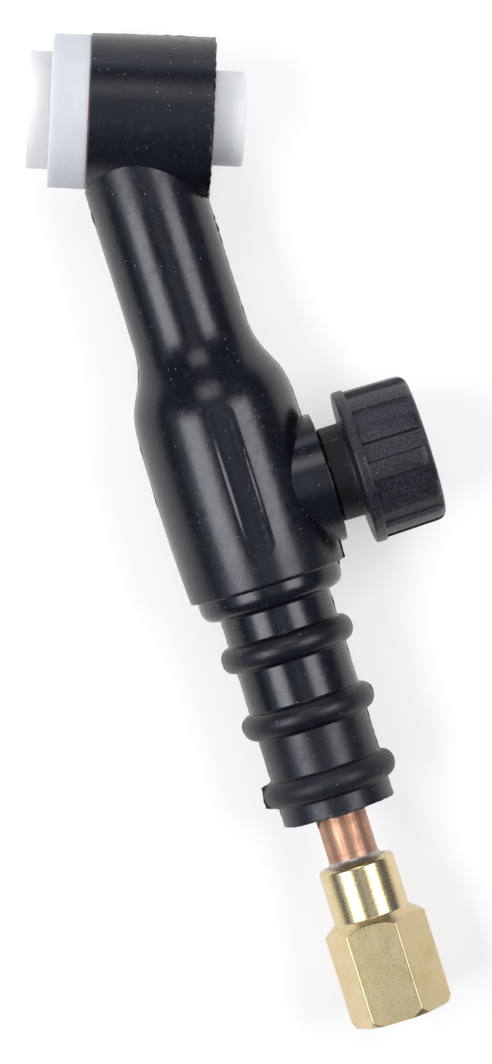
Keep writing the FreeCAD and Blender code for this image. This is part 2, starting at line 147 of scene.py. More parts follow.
# head core and insulators
SPIGOT_R = 5.6
SPIGOT_FRONT = -8.5
HEAD_THREAD_R = 4.33
HEAD_THREAD_PITCH = 25.4 / 32
HEAD_THREAD_DEPTH = 0.32
THREAD_RUN_OUT = 0.42       # the cone between each thread and the collet's bore
COLLET_BORE_R = 3.6
COLLET_BORE_FRONT = -1.5
COLLET_BORE_REAR = 5.0
GAS_PORT_R = 1.6
SHIELD_R = 10.72
SHIELD_FRONT = -9.8
NOZZLE_SEAT_R = 8.2
NOZZLE_SEAT_FRONT = -12.9
SHIELD_BORE_R = 5.2
REAR_RING_R = 6.6
REAR_RING_END = 17.2
REAR_RING_BORE_R = 5.3

# cable fitting
FITTING_TOP = down("cable_fitting", 0)
FITTING_END = down("cable_fitting", 1)
FITTING_NECK_R = 5.4
FITTING_NECK_END = 116.9
HEX_ACROSS_FLATS = 12.7
HEX_TOP = 118.4
HEX_TURN = 9.0
HEX_CORNER_R = HEX_ACROSS_FLATS / 2 / math.cos(math.radians(30))
HEX_END_R = 6.8
HEX_END_CHAMFER = 0.9
CABLE_THREAD_R = 4.25
CABLE_THREAD_TOP = 119.5
CABLE_THREAD_PITCH = 25.4 / 24
CABLE_THREAD_DEPTH = 0.4
CABLE_MOUTH_R = 4.95
CABLE_MOUTH_DEPTH = 0.7
FITTING_NECK_ROUND = 0.8
FILLET_WIDTH = 1.55         # how far the solder fillet spreads from the tube
TUBE_MARK = 1.45            # how far above the fitting the tube cutter's mark is
TUBE_MARK_HALF = 0.16       # half the mark's width

# knob
HUB_R = 6.7
HUB_START = reach("valve_knob", 0, 0)
KNOB_END = reach("valve_knob", 0, 1)
HUB_BORE_R = 5.8
HUB_BORE_END = 16.6
FLANGE_R = 10.95
FLANGE_START = 16.15
FLANGE_END = 17.75
GRIP_R = 10.65
GRIP_END_R = 10.45
KNOB_ROUND = 1.5
KNOB_DISH_R = 7.4
KNOB_DISH_DEPTH = 0.6
FLUTES = 12
FLUTE_DEPTH = 0.55
FLUTE_SHARE = 0.5           # of the pitch
FLUTE_EDGE = 0.75           # half the width of a flute's rounded edge, in degrees
FLUTE_HOLLOW = 0.08         # how far a flute's floor sinks in the middle
LAND_PHASE = 5.6
SHANK_R = 2.3
SHANK_END = 17.6
INSERT_R = 4.2
INSERT_END = 24.6
SCREW_WELL_R = 2.9
SCREW_R = 1.25
SCREW_TIP = 19.6
SCREW_HEAD_R = 2.4
SCREW_HEAD_END = 26.2
SCREW_SLOT_WIDTH = 0.6
SCREW_SLOT_DEPTH = 0.7

# ---- axes ---------------------------------------------------------------------------


def placed(origin, x, y, z):
    """The placement whose own axes point along x, y and z."""
    return Matrix.Translation(origin) @ Matrix((x, y, z)).transposed().to_4x4()


def axis(origin, along, zero):
    """The placement of a turned piece: its axis, and the side that its angles start from."""
    return placed(origin, zero, along.cross(zero), along)


UP = Vector((0, 0, 1))
tilt = math.radians(HEAD_TILT)
ELECTRODE = Vector((math.cos(tilt), -math.sin(tilt), 0))
DOWN_STEM = Vector((0, -1, 0))
TO_KNOB = Vector((1, 0, 0))
STEM = axis(Vector((0, 0, 0)), DOWN_STEM, TO_KNOB)
VALVE = axis(Vector((0, -VALVE_AT, 0)), TO_KNOB, UP)
HEAD = axis(Vector((0, 0, 0)), ELECTRODE, UP)

# ---- sections -----------------------------------------------------------------------

GRADING = 0.35              # how fast the mesh coarsens away from a fine stretch
CORNER_TURN = 0.35          # the most that the mesh turns between rows, in radians
LEAST_TURN = 0.02           # a smaller turn isn't a corner, in radians
LEAST_ROW = 0.03            # the least distance between rows
SAMPLES = 20001             # where the mesh's spacing is worked out


def spread(start, end, step, fine=()):
    """Numbers from start to end, about step apart, and closer in each fine (low, high, step)."""
    at = np.linspace(start, end, SAMPLES)
    spacing = np.full_like(at, step)
    for low, high, fine_step in fine:
        outside = np.maximum(low - at, at - high).clip(0)
        spacing = np.minimum(spacing, fine_step + GRADING * outside)
    count = np.concatenate([[0], np.cumsum(np.diff(at) / spacing[1:])])
    return np.interp(np.linspace(0, count[-1], math.ceil(count[-1]) + 1), count, at)


def turns(step, fine=()):
    """Angles all the way round, in radians, about step degrees apart and closer where asked."""
    return np.radians(spread(0, 360, step, fine)[:-1])


def bend(start, control, end, steps=8):
    """The points of a quadratic curve."""
    u = np.linspace(0, 1, steps)[:, None]
    start, control, end = (np.array(p, float) for p in (start, control, end))
    return (1 - u) ** 2 * start + 2 * u * (1 - u) * control + u ** 2 * end


def bulge_arc(a, middle, b):
    """The points of the circle's arc through three points of a section."""
    (ax, ay), (mx, my), (bx, by) = a, middle, b
    lines = [[mx - ax, my - ay], [bx - mx, by - my]]
    sums = np.array([mx ** 2 - ax ** 2 + my ** 2 - ay ** 2, bx ** 2 - mx ** 2 + by ** 2 - my ** 2])
    centre = np.linalg.solve(lines, sums / 2)
    first = math.atan2(ay - centre[1], ax - centre[0])
    last = math.atan2(by - centre[1], bx - centre[0])
    angle = np.linspace(first, last, 40)
    radius = math.hypot(ax - centre[0], ay - centre[1])
    return centre + radius * np.column_stack([np.cos(angle), np.sin(angle)])


def outline(*strokes):
    """A section's points from corners (radius, along, rounding) and ready-made point arrays."""
    corners = []
    for stroke in strokes:
        if isinstance(stroke, np.ndarray):
            corners += [(r, s, 0) for r, s in stroke]
        else:
            corners.append(stroke)
    points = []
    for index, (r, s, rounding) in enumerate(corners):
        here = np.array([r, s], float)
        if rounding == 0:
            points.append(here)
            continue
        before = np.array(corners[index - 1][:2], float) - here
        after = np.array(corners[(index + 1) % len(corners)][:2], float) - here
        start, end = (here + side / np.linalg.norm(side) * min(rounding, np.linalg.norm(side) / 2)
                      for side in (before, after))
        points += list(bend(start, here, end))
    return np.array(points)


def resampled(points, step, loop=True, fine=()):
    """Rows along a section, closer together where it turns and in each fine stretch.

    A fine stretch is (lowest along, highest along, step) and applies to the outer wall.
    """
    if loop:
        points = np.vstack([points, points[:1]])
    length = np.linalg.norm(np.diff(points, axis=0), axis=1)
    points = points[np.concatenate([[True], length > 1e-6])]
    run = np.diff(points, axis=0)
    length = np.linalg.norm(run, axis=1)
    at = np.concatenate([[0], np.cumsum(length)])
    heading = np.unwrap(np.arctan2(run[:, 1], run[:, 0]))
    turn = np.abs(np.diff(heading))
    stretches = []
    for index in np.nonzero(turn > LEAST_TURN)[0]:
        near = min(length[index], length[index + 1])
        fine_step = max(LEAST_ROW, near * CORNER_TURN / turn[index])
        stretches.append((at[index + 1], at[index + 1], fine_step))
    for low, high, fine_step in fine:
        inside = (points[:, 1] > low) & (points[:, 1] < high)
        if inside.any():
            stretches.append((at[inside].min(), at[inside].max(), fine_step))
    rows = spread(0, at[-1], step, stretches)
    if loop:
        rows = rows[:-1]
    return np.column_stack([np.interp(rows, at, points[:, k]) for k in (0, 1)])


# ---- surface relief -----------------------------------------------------------------

# Each random field and each jagged line has a seed of its own.


def ripple(seed, size, *coordinates):
    """A smooth random field from -1 to 1 with features about size across."""
    random = np.random.default_rng(seed)
    total = 0
    waves = 7
    for _ in range(waves):
        heading = random.normal(size=len(coordinates))
        heading *= 2 * math.pi / size / np.linalg.norm(heading) * random.uniform(0.6, 1.5)
        phase = random.uniform(0, 2 * math.pi)
        total = total + np.sin(sum(h * c for h, c in zip(heading, coordinates)) + phase)
    return total / waves


def dips(seed, size, radius, along, angle):
    """How a turned face sinks in places: a random field from -2 to 0."""
    return ripple(seed, size, radius * np.cos(angle), radius * np.sin(angle), along) - 1


def ragged(seed, size, at):
    """A jagged random line from 0 to 1 with a new value every size."""
    random = np.random.default_rng(seed)
    knots = np.arange(at.min() - size, at.max() + 2 * size, size)
    return np.interp(at, knots, random.random(len(knots)))


def swell(value, low, high):
    """0 below low, 1 above high, and a smooth rise between them."""
    u = np.clip((value - low) / (high - low), 0, 1)
    return u * u * (3 - 2 * u)


def fin(radius, angle, side, height, width=FLASH_WIDTH):
    """A parting-line fin: extra radius near one side angle, in degrees."""
    away = radius * np.sin(angle - math.radians(side))
    facing = np.cos(angle - math.radians(side)) > 0
    return np.where(facing, height * np.exp(-((away / width) ** 2)), 0)


def tufts(seed, along):
    """Where a parting-line fin tears into taller tufts, from 0 to 1, irregularly spaced."""
    return ragged(seed, 0.6, along) ** 2 * ragged(seed + 100, 2.7, along) ** 2


def side_fins(radius, along, angle, seed, tuft):
    """The fins on both sides of a piece turned on the valve's or the head's axis."""
    height = 0.08 + tuft * tufts(seed, along)
    return fin(radius, angle, 90, height) + fin(radius, angle, 270, height)


def parting_clusters(*sides):
    """Closely spaced columns at the sides where a parting line runs."""
    return [(side - 1.6, side + 1.6, 0.55) for side in sides]


# ---- meshes -------------------------------------------------------------------------


def add(name, data):
    """A new object in the scene."""
    made = bpy.data.objects.new(name, data)
    bpy.context.scene.collection.objects.link(made)
    return made


def turn_outward(mesh):
    """Turns a closed mesh's faces round if they point inward; combine() needs them outward."""
    shell = bmesh.new()
    shell.from_mesh(mesh)
    closed = all(edge.is_manifold for edge in shell.edges)
    if closed and shell.calc_volume(signed=True) < 0:
        mesh.flip_normals()
    shell.free()


def put(name, vertices, faces, place):
    """An object whose mesh is in metres in the row frame."""
    mesh = bpy.data.meshes.new(name)
    mesh.from_pydata(vertices.tolist(), [], faces)
    mesh.transform(Matrix.Scale(MM, 4) @ place)
    turn_outward(mesh)
    mesh.update()
    return add(name, mesh)


def turned(name, section, place, angles, relief=None, loop=True):
    """A section carried round its axis. A loop is a ring; otherwise its ends meet the axis.

    relief(radius, along, angle) returns the changed radius and distance along the axis.
    """
    angle, radius = np.meshgrid(angles, section[:, 0])
    along = np.meshgrid(angles, section[:, 1])[1]
    if relief:
        radius, along = relief(radius, along, angle)
    vertices = np.stack([radius * np.cos(angle), radius * np.sin(angle), along], axis=-1)
    rows, columns = angle.shape
    index = np.arange(rows * columns).reshape(rows, columns)
    beside = np.roll(index, -1, axis=1)
    if loop:
        below = np.roll(index, -1, axis=0)
        corners = (index, below, np.roll(below, -1, axis=1), beside)
        faces = np.stack(corners, axis=-1).reshape(-1, 4).tolist()
        return put(name, vertices.reshape(-1, 3), faces, place)
    corners = (index[1:-2], index[2:-1], beside[2:-1], beside[1:-2])
    faces = np.stack(corners, axis=-1).reshape(-1, 4)
    first, last = 0, rows * columns - 1
    caps = [(first, a, b) for a, b in zip(index[1], beside[1])]
    caps += [(a, last, b) for a, b in zip(index[-2], beside[-2])]
    vertices = vertices.reshape(-1, 3)
    used = np.concatenate([[first], index[1:-1].ravel(), [last]])
    renumber = np.zeros(rows * columns, int)
    renumber[used] = np.arange(len(used))
    faces = renumber[faces].tolist() + [tuple(renumber[list(cap)]) for cap in caps]
    return put(name, vertices[used], faces, place)


def plug(points, place):
    """A plain turned cutter for hollowing a piece; its section starts and ends on the axis."""
    return turned("cutter", outline(*points), place, turns(4), loop=False)


def rod(radius, start, end, place):
    """A plain cylindrical cutter."""
    return plug([(0, start, 0), (radius, start, 0), (radius, end, 0), (0, end, 0)], place)


def block(size, centre, place):
    """A plain box cutter."""
    vertices = np.array([[x, y, z] for x in (-1, 1) for y in (-1, 1) for z in (-1, 1)], float)
    faces = [(0, 1, 3, 2), (4, 6, 7, 5), (0, 4, 5, 1), (2, 3, 7, 6), (0, 2, 6, 4), (1, 5, 7, 3)]
    return put("cutter", vertices * np.array(size) / 2 + np.array(centre), faces, place)


def combine(piece, others, operation):
    """Union with, or difference from, other meshes, which are then removed."""
    for other in others:
        modifier = piece.modifiers.new("boolean", "BOOLEAN")
        modifier.operation = operation
        modifier.solver = "MANIFOLD"
        modifier.object = other
    result = bpy.data.meshes.new_from_object(
        piece.evaluated_get(bpy.context.evaluated_depsgraph_get())
    )
    piece.modifiers.clear()
    piece.data = result
    for other in others:
        bpy.data.objects.remove(other)
    return piece


def finish_piece(piece, body, slot, nodes=(), sharp=38):
    """Smooth shading but for sharp edges, material, body, slot, and the CAD nodes it stands for."""
    piece.data.shade_smooth()
    piece.data.set_sharp_from_angle(angle=math.radians(sharp))
    piece.data.materials.clear()
    piece.data.materials.append(FINISHES[slot])
    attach(piece, body)
    if nodes:
        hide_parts(*nodes)


# ---- finishes -----------------------------------------------------------------------


class Finish:
    """A material drawn from noise on the piece's own coordinates, in millimetres."""

    def __init__(self, name, **sockets):
        self.material = bpy.data.materials.new(name)
        self.material.use_nodes = True
        self.tree = self.material.node_tree
        self.shader = self.tree.nodes["Principled BSDF"]
        for socket, value in sockets.items():
            self.shader.inputs[socket.replace("_", " ")].default_value = value
        coordinates = self.tree.nodes.new("ShaderNodeTexCoord")
        scale = self.tree.nodes.new("ShaderNodeVectorMath")
        scale.operation = "SCALE"
        scale.inputs["Scale"].default_value = 1 / MM
        self.tree.links.new(coordinates.outputs["Object"], scale.inputs[0])
        self.place = scale.outputs[0]

    def node(self, kind, sockets, **settings):
        """A shader node with its sockets set to values or linked to other nodes."""
        made = self.tree.nodes.new(kind)
        for name, value in settings.items():
            setattr(made, name, value)
        for name, value in sockets.items():
            if isinstance(value, bpy.types.NodeSocket):
                self.tree.links.new(value, made.inputs[name])
            else:
                made.inputs[name].default_value = value
        return made

    def stretched(self, stretch):
        """The piece's coordinates with each axis divided by its stretch."""
        shares = tuple(1 / s for s in stretch)
        scaled = self.node("ShaderNodeVectorMath", {0: self.place, 1: shares}, operation="MULTIPLY")
        return scaled.outputs[0]

    def noise(self, size, detail, roughness=0.5, stretch=None):
        """Fractal noise whose largest features are about size across."""
        place = self.stretched(stretch) if stretch else self.place
        sockets = {"Vector": place, "Scale": 1 / size, "Detail": detail, "Roughness": roughness}
        return self.node("ShaderNodeTexNoise", sockets).outputs["Fac"]

    def rings(self, direction, scale, detail):
        """Noise that varies only along a direction, as tool marks round that axis do."""
        sockets = {"W": self.along(direction), "Scale": scale, "Detail": detail}
        return self.node("ShaderNodeTexNoise", sockets, noise_dimensions="1D").outputs["Fac"]

    def along(self, direction):
        """Distance along a direction from the origin."""
        sockets = {0: self.place, 1: direction}
        return self.node("ShaderNodeVectorMath", sockets, operation="DOT_PRODUCT").outputs["Value"]

    def away(self, stretch):
        """Distance from the origin, with each axis divided by its stretch."""
        sockets = {0: self.stretched(stretch)}
        return self.node("ShaderNodeVectorMath", sockets, operation="LENGTH").outputs["Value"]

    def sum(self, a, b, operation="ADD"):
        return self.node("ShaderNodeMath", {0: a, 1: b}, operation=operation).outputs[0]

    def times(self, a, b):
        return self.sum(a, b, "MULTIPLY")

    def step(self, value, low, high, start=0.0, end=1.0):
        """start below low, end above high, and a smooth change between them."""
        sockets = {"Value": value, "From Min": low, "From Max": high, "To Min": start, "To Max": end}
        return self.node("ShaderNodeMapRange", sockets, interpolation_type="SMOOTHSTEP").outputs[0]

    def specks(self, spacing, radius, share, stretch=None):
        """1 inside small random dots, of which only a share of the possible ones appear."""
        place = self.stretched(stretch) if stretch else self.place
        cells = self.node("ShaderNodeTexVoronoi", {"Vector": place, "Scale": 1 / spacing})
        chosen = self.node("ShaderNodeSeparateColor", {0: cells.outputs["Color"]})
        size = self.step(chosen.outputs[0], 1 - share, 1 - 0.6 * share, 0.0, radius / spacing)
        near = self.sum(size, cells.outputs["Distance"], "SUBTRACT")
        return self.step(near, 0.0, 0.25 * radius / spacing)

    def blend(self, share, a, b):
        """Colour a changing to colour b as share goes from 0 to 1."""
        mix = self.node("ShaderNodeMix", {"Factor": share}, data_type="RGBA")
        for socket, value in ((mix.inputs[6], a), (mix.inputs[7], b)):
            if isinstance(value, bpy.types.NodeSocket):
                self.tree.links.new(value, socket)
            else:
                socket.default_value = (*value, 1)
        return mix.outputs[2]

    def source(self, socket):
        """What is linked to one of the shader's sockets so far."""
        return self.shader.inputs[socket].links[0].from_socket

    def colour(self, value):
        self.tree.links.new(value, self.shader.inputs["Base Color"])
        return self

    def rough(self, value):
        self.tree.links.new(value, self.shader.inputs["Roughness"])
        return self

    def relief(self, *layers):
        """Bump from (height, depth in millimetres) layers."""
        normal = None
        for height, depth in layers:
            sockets = {"Height": height, "Distance": depth * MM}
            if normal:
                sockets["Normal"] = normal
            normal = self.node("ShaderNodeBump", sockets).outputs[0]
        self.tree.links.new(normal, self.shader.inputs["Normal"])
        return self


def rubber(name, dark, pale, roughness, dust, grain):
    """Black moulded rubber: cloudy tone, chalky bloom, white dust specks and fine grain."""
    f = Finish(name, IOR=1.5)
    f.shader.inputs["Specular Tint"].default_value = (0.93, 0.96, 1.0, 1)
    cloud = f.step(f.noise(7.0, 4), 0.35, 0.7)
    bloom = f.step(f.noise(2.2, 8, 0.65), 0.52, 0.74)
    specks = f.sum(f.specks(1.1, 0.085, dust), f.specks(0.6, 0.045, dust), "MAXIMUM")
    lint = f.specks(2.6, 0.09, dust, (0.55, 3.2, 0.55))
    base = f.blend(cloud, dark, pale)
    base = f.blend(f.times(bloom, 0.35), base, tuple(2.4 * c for c in pale))
    base = f.blend(f.times(specks, 0.75), base, (0.42, 0.41, 0.38))
    base = f.blend(f.times(lint, 0.5), base, (0.3, 0.29, 0.27))
    f.colour(base)
    patchy = f.step(f.noise(1.1, 6, 0.6), 0.3, 0.75, roughness - 0.03, roughness + 0.05)
    f.rough(f.sum(patchy, f.times(bloom, 0.03)))
    f.relief(
        (f.noise(1.4, 3), 0.02 * grain), (f.noise(0.16, 3, 0.6), 0.008 * grain),
        (f.sum(specks, lint, "MAXIMUM"), 0.03),
    )
    return f


def black_rubber():
    """The moulding's rubber, with the brown line along the front edge of its head."""
    f = rubber("black_rubber", (0.0026, 0.0034, 0.0054), (0.005, 0.0063, 0.0088), 0.22, 0.7, 1.0)
    edge = f.step(f.along(ELECTRODE), HEAD_FRONT + 0.05, HEAD_FRONT + 0.32, 0.8, 0.0)
    base = f.source("Base Color")
    f.colour(f.blend(edge, base, (0.085, 0.045, 0.03)))
    down_stem = f.along(DOWN_STEM)
    on_tail = f.step(down_stem, SHOULDER_END + 1, SHOULDER_END + 2)
    from_stem = f.away((1, 1e6, 1))
    on_rib = f.step(from_stem, TAIL_R + 0.1, TAIL_R + 0.6, 0.0, 0.14)
    on_head = f.step(down_stem, 9, 17, 0.09, 0.0)
    on_tail_end = f.step(down_stem, RIB_AT[1] - 2, RIB_AT[1] + 4, 0.0, 0.13)
    below_boss = f.step(down_stem, BULGE_END - 8, BULGE_END - 1, 0.0, 0.08)
    below_boss = f.times(below_boss, f.step(down_stem, BULGE_END, BULGE_END + 0.2, 1.0, 0.0))
    scuffed = f.sum(on_head, f.times(on_rib, on_tail))
    scuffed = f.sum(scuffed, f.sum(on_tail_end, below_boss))
    f.rough(f.sum(f.source("Roughness"), scuffed))
    return f.material


def black_nylon():
    """The knob's nylon: dull on its hub, which is left darker as painted shade, and grained on its
    grip, with painted highlights along its edges.
    """
    f = rubber("black_nylon", (0.003, 0.0035, 0.006), (0.007, 0.008, 0.011), 0.37, 0.35, 4.0)
    # Pointiness lightens the sharp edges: a painted highlight where the rounded edges catch the light.
    painted_edge_highlight = f.step(f.node("ShaderNodeNewGeometry", {}).outputs["Pointiness"], 0.52, 0.6)
    on_grip = f.step(f.along(TO_KNOB), FLANGE_START - 0.8, FLANGE_START + 0.2)
    f.rough(f.sum(f.source("Roughness"), f.step(on_grip, 0.0, 1.0, 0.2, 0.0)))
    # The grain's paler colour stays on the grip, so the hub is left darker as painted shade under the
    # flange and beside the boss.
    grain = f.times(f.step(f.noise(0.3, 3, 0.7), 0.42, 0.66, 0.0, 0.5), on_grip)
    base = f.blend(grain, f.source("Base Color"), (0.062, 0.064, 0.072))
    f.colour(f.blend(f.times(painted_edge_highlight, 0.6), base, (0.075, 0.077, 0.082)))
    return f.material


def seal_rubber():
    """The O-rings' rubber."""
    return rubber("seal_rubber", (0.006, 0.006, 0.007), (0.011, 0.011, 0.012), 0.45, 0.1, 0.6).material


def white_ptfe():
    """Skived white PTFE: faint lathe rings, a slight translucence, a few dark specks, and painted light
    that makes the nose and the rear ring lighter than the disc.
    """
    f = Finish("white_ptfe", Subsurface_Weight=0.75, Subsurface_Scale=0.0025, IOR=1.38)
    f.shader.inputs["Subsurface Radius"].default_value = (1.0, 0.95, 0.9)
    cloud = f.step(f.noise(5.0, 4), 0.3, 0.7)
    base = f.blend(cloud, (0.585, 0.6, 0.62), (0.62, 0.632, 0.65))
    # Painted light: the nose is coloured lighter than the disc, as if it were lit more from the head's
    # side.
    painted_lit_nose = f.step(f.along(ELECTRODE), SHIELD_FRONT - 0.2, SHIELD_FRONT, 1.0, 0.0)
    base = f.blend(painted_lit_nose, base, (0.735, 0.728, 0.72))
    # Painted light: the rear ring is coloured lighter than the disc too.
    painted_lit_ring = f.step(f.along(ELECTRODE), HEAD_REAR - 2, HEAD_REAR - 1)
    base = f.blend(painted_lit_ring, base, (0.77, 0.778, 0.785))
    base = f.blend(f.times(f.specks(3.5, 0.07, 0.4), 0.6), base, (0.25, 0.22, 0.18))
    f.colour(base)
    f.rough(f.step(f.noise(0.8, 5), 0.3, 0.7, 0.38, 0.55))
    f.relief((f.rings(ELECTRODE, 7.0, 3.0), 0.02), (f.noise(0.5, 4), 0.02))
    return f.material


def brass():
    """Machined brass: satin, with tool marks round the stem's axis, tarnish and bright scratches."""
    f = Finish("brass", Metallic=1.0)
    tarnish = f.step(f.noise(3.5, 6, 0.6), 0.42, 0.78)
    grain = f.noise(0.14, 4, 0.7)
    base = f.blend(tarnish, (0.72, 0.57, 0.32), (0.63, 0.485, 0.235))
    base = f.blend(f.step(grain, 0.5, 0.75, 0.0, 0.7), base, (0.93, 0.82, 0.58))
    base = f.blend(f.times(f.specks(1.3, 0.07, 0.35), 0.7), base, (0.2, 0.13, 0.05))
    f.colour(base)
    on_hexagon = f.step(f.along(DOWN_STEM), FITTING_NECK_END, HEX_TOP, 0.0, 0.06)
    f.rough(f.sum(f.step(grain, 0.3, 0.75, 0.2, 0.32), on_hexagon))
    f.relief((f.rings(DOWN_STEM, 9.0, 4.0), 0.006), (grain, 0.005))
    return f.material


def copper():
    """Drawn copper tube: lengthwise streaks, brown oxide patches, dull spots, and a painted shadow just
    below the moulding's tail.
    """
    f = Finish("copper", Metallic=1.0)
    streaks = f.noise(0.35, 4, 0.6, (1, 14, 1))
    oxide = f.step(f.noise(1.6, 6, 0.65), 0.45, 0.7)
    base = f.blend(f.step(streaks, 0.3, 0.7), (0.555, 0.325, 0.225), (0.455, 0.245, 0.155))
    base = f.blend(f.times(oxide, 0.4), base, (0.36, 0.19, 0.11))
    # Painted shadow: the tube darkens just below the tail's end, where the moulding shades it.
    painted_tail_shadow = f.step(f.along(DOWN_STEM), TAIL_END + 0.3, TAIL_END + 2.2, 0.45, 0.0)
    f.colour(f.blend(painted_tail_shadow, base, (0.2, 0.11, 0.07)))
    f.rough(f.sum(f.step(streaks, 0.3, 0.7, 0.38, 0.48), f.times(oxide, 0.08)))
    f.relief((streaks, 0.005), (f.noise(0.2, 4), 0.009))
    return f.material


def silver_braze():
    """Filler metal, frozen lumpy and grey with a little oxide."""
    f = Finish("silver_braze", Metallic=1.0)
    oxide = f.step(f.noise(0.7, 6, 0.65), 0.42, 0.68)
    f.colour(f.blend(oxide, (0.6, 0.54, 0.49), (0.48, 0.41, 0.36)))
    f.rough(f.step(f.noise(0.3, 4), 0.3, 0.7, 0.42, 0.55))
    f.relief((f.noise(0.6, 4), 0.03), (f.noise(0.12, 3), 0.008))
    return f.material


def plated_steel():
    """Dull plated screw: zinc grey with stains and fine marks."""
    f = Finish("plated_steel", Metallic=1.0)
    stain = f.step(f.noise(0.9, 5, 0.6), 0.45, 0.7)
    f.colour(f.blend(stain, (0.55, 0.56, 0.57), (0.33, 0.3, 0.26)))
    f.rough(f.step(f.noise(0.2, 4), 0.3, 0.7, 0.28, 0.45))
    f.relief((f.noise(0.12, 4), 0.01))
    return f.material


FINISHES = {
    make.__name__: make()
    for make in (black_rubber, black_nylon, seal_rubber, white_ptfe, brass, copper,
                 silver_braze, plated_steel)
}

# ---- rubber moulding ----------------------------------------------------------------


def rib(at):
    """The rounded outline of one rib, where it stands out of the tail."""
    foot = 0.12                 # how far from its foot the rib's curve gives way to the fillet
    angle = np.linspace(-math.pi / 2 + foot, math.pi / 2 - foot, 22)
    crown = np.column_stack([TAIL_R + RIB_HEIGHT * np.cos(angle), at + RIB_HALF * np.sin(angle)])
    before = bend((TAIL_R, at - RIB_HALF - RIB_FILLET), (TAIL_R, at - RIB_HALF), crown[0], 5)
    after = bend(crown[-1], (TAIL_R, at + RIB_HALF), (TAIL_R, at + RIB_HALF + RIB_FILLET), 5)
    return np.vstack([before, crown, after])


def stem_section():
    """Neck, flare, bulge, shoulder and ribbed tail."""
    u = np.linspace(0, 1, 40)[:, None]
    neck, at_neck, at_bulge, bulge = (np.array(point) for point in (
        (NECK_R, FLARE_TOP), (NECK_R, FLARE_TOP + FLARE_HANDLE),
        (FLARE_R - 0.15, FLARE_END - FLARE_END_HANDLE), (FLARE_R, FLARE_END)))
    flare = ((1 - u) ** 3 * neck + 3 * u * (1 - u) ** 2 * at_neck
             + 3 * u ** 2 * (1 - u) * at_bulge + u ** 3 * bulge)
    barrel = bulge_arc((FLARE_R, FLARE_END), (BULGE_MID_R, BULGE_MID), (BULGE_END_R, BULGE_END))
    points = outline(
        (0, NECK_TOP, 0), (NECK_R, NECK_TOP, 0.2), flare, barrel[1:-1],
        (BULGE_END_R, BULGE_END, 0.22), (SHOULDER_R, BULGE_END + 0.12, 0.2),
        bend((SHOULDER_R, SHOULDER_BEND), (SHOULDER_R, SHOULDER_END), (TAIL_R + 0.2, SHOULDER_END), 14),
        (TAIL_R, SHOULDER_END + 0.1, 0.1),
        *[rib(at) for at in RIB_AT], (TAIL_R, TAIL_END, 0.22), (0, TAIL_END, 0),
    )
    panel_ends = []
    for side in (-1, 1):
        middle = PANEL_AT + side * (PANEL_LENGTH / 2 - PANEL_WIDTH / 4)
        low, high = middle - PANEL_WIDTH / 4 - PANEL_FINE, middle + PANEL_WIDTH / 4 + PANEL_FINE
        panel_ends.append((low, high, 0.13))
    return resampled(points, 0.55, loop=False, fine=panel_ends)


def stem_relief(radius, along, angle):
    """Panel recess, parting fins, ragged tail end and the skin's slight waves."""
    outer = swell(radius, 5.0, 7.5)     # 0 on the end faces, 1 on the outside
    x = radius * np.cos(angle) - PANEL_OFFSET
    straight = PANEL_LENGTH / 2 - PANEL_WIDTH / 2
    beyond = (np.abs(along - PANEL_AT) - straight).clip(0)
    inside = PANEL_WIDTH / 2 - np.hypot(x, beyond)
    recess = swell(inside, -PANEL_SOFTNESS, PANEL_SOFTNESS) * (np.sin(angle) > 0)
    wave = SKIN_WAVE * dips(3, 9.0, radius, along, angle) * outer
    rough_end = swell(along, TAIL_END - 0.5, TAIL_END - 0.05) * outer
    along = along + rough_end * 0.22 * (ragged(8, 0.09, angle) - 0.75)
    below_boss = swell(along, TEETH_START, TEETH_FULL) * (1 - swell(along, TEETH_END, SHOULDER_BEND))
    teeth = below_boss * (0.14 + 0.24 * ragged(4, 0.7, along))
    right = fin(radius, angle, 0, 0.09 + 0.4 * tufts(5, along) + teeth)
    left = fin(radius, angle, 180, 0.06 + 0.2 * tufts(6, along))
    start, end = RIB_TAB
    on_tab = swell(along, start - 0.25, start) * (1 - swell(along, end - 0.1, end + 0.3))
    tab_height = TAIL_R + RIB_HEIGHT + 0.08 * (along - start) - 0.15 * ragged(7, 0.35, along) - radius
    left = left + fin(radius, angle, 180, (on_tab * tab_height).clip(0), 0.3)
    lip = rough_end * 0.16 * ragged(9, 0.12, angle) ** 2
    depth = (radius - PANEL_FLOOR_R).clip(PANEL_LEAST_DEPTH)
    return radius - depth * recess + wave + (right + left) * outer + lip, along


def head_sleeve():
    """The rubber round the brass head, its rear edge ragged."""
    points = outline(
        (0, HEAD_FRONT, 0), (HEAD_FRONT_R, HEAD_FRONT, 0.16),
        (HEAD_REAR_R, HEAD_REAR, 0.18), (0, HEAD_REAR, 0),
    )

    def relief(radius, along, angle):
        outer = swell(radius, 9.0, 10.2)
        across, height = radius * np.sin(angle), radius * np.cos(angle)
        wave = SKIN_WAVE * (ripple(12, 8.0, across, height, along) - 1) * outer
        rear = swell(along, HEAD_REAR - 0.55, HEAD_REAR - 0.05) * outer
        along = along + rear * 0.3 * (ragged(14, 0.05, angle) - 0.85)
        lip = rear * 0.2 * ragged(15, 0.06, angle) ** 2
        return radius + wave + lip + side_fins(radius, along, angle, 13, 0.25) * outer, along

    angles = turns(1.9, parting_clusters(90, 270))
    return turned("head", resampled(points, 0.5, loop=False), HEAD, angles, relief, loop=False)


